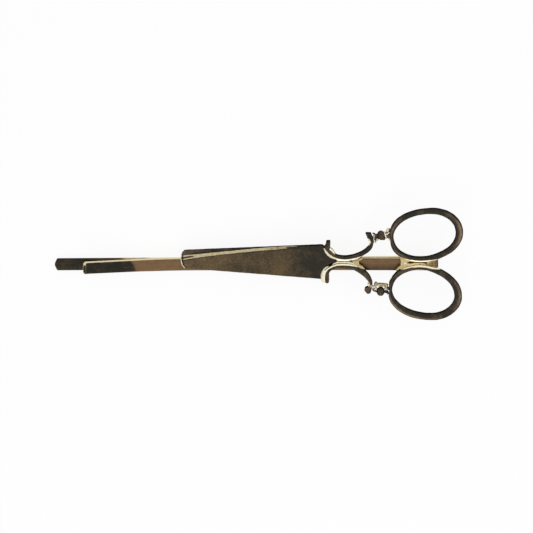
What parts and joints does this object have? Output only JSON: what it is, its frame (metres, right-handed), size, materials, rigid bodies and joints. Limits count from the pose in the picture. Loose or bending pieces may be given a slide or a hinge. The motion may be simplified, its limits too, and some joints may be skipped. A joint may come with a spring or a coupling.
{
  "type": "hair slide",
  "caption": "Flat sprung hair grip that carries a closed pair of antique scissors, with blunt blades, scrolled shanks and oval finger rings.",
  "frame": {"origin": "on the flat underside of the grip's back leg, in the middle of its width, below the waist where the two shanks of the scissors meet", "axes": "+X along the grip from its open tips to its bend; +Z out of the side that shows when the slide is worn, square to the flat of the back leg; +Y across the grip, towards the upper finger ring"},
  "size_m": [0.064, 0.0183, 0.0038],
  "materials": {
    "golden_spring_steel": "flat spring steel strip, gold lacquered and toned brown, satin",
    "toned_brass": "cast brass, plated pale gold, toned dark brown on its flats and rubbed bright on its edges",
    "hammered_toned_brass": "the same toned plating over a finely hammered face",
    "pale_gold_solder": "bright pale gold plated solder, smooth and slightly uneven"
  },
  "bodies": {
    "back_leg": {"grip_back_leg": "golden_spring_steel"},
    "front_leg": {"grip_front_leg": "golden_spring_steel", "back_blade": "toned_brass", "front_blade": "hammered_toned_brass", "upper_scroll_shank": "toned_brass", "lower_scroll_shank": "toned_brass", "upper_ball_link": "toned_brass", "lower_ball_link": "toned_brass", "upper_finger_ring": "toned_brass", "lower_finger_ring": "toned_brass", "waist_fillet": "pale_gold_solder", "ring_fillet": "pale_gold_solder", "blade_solder": "pale_gold_solder", "ring_solder": "pale_gold_solder"}
  },
  "joints": [
    {"name": "leg_flex", "type": "hinge", "parent": "back_leg", "child": "front_leg", "pos_m": [0.01332, 0, 0.0012], "axis": [0, 1, 0], "range_deg": [0, 10], "stiffness_Nm_per_rad": 0.45, "springref_deg": -2.86}
  ]
}
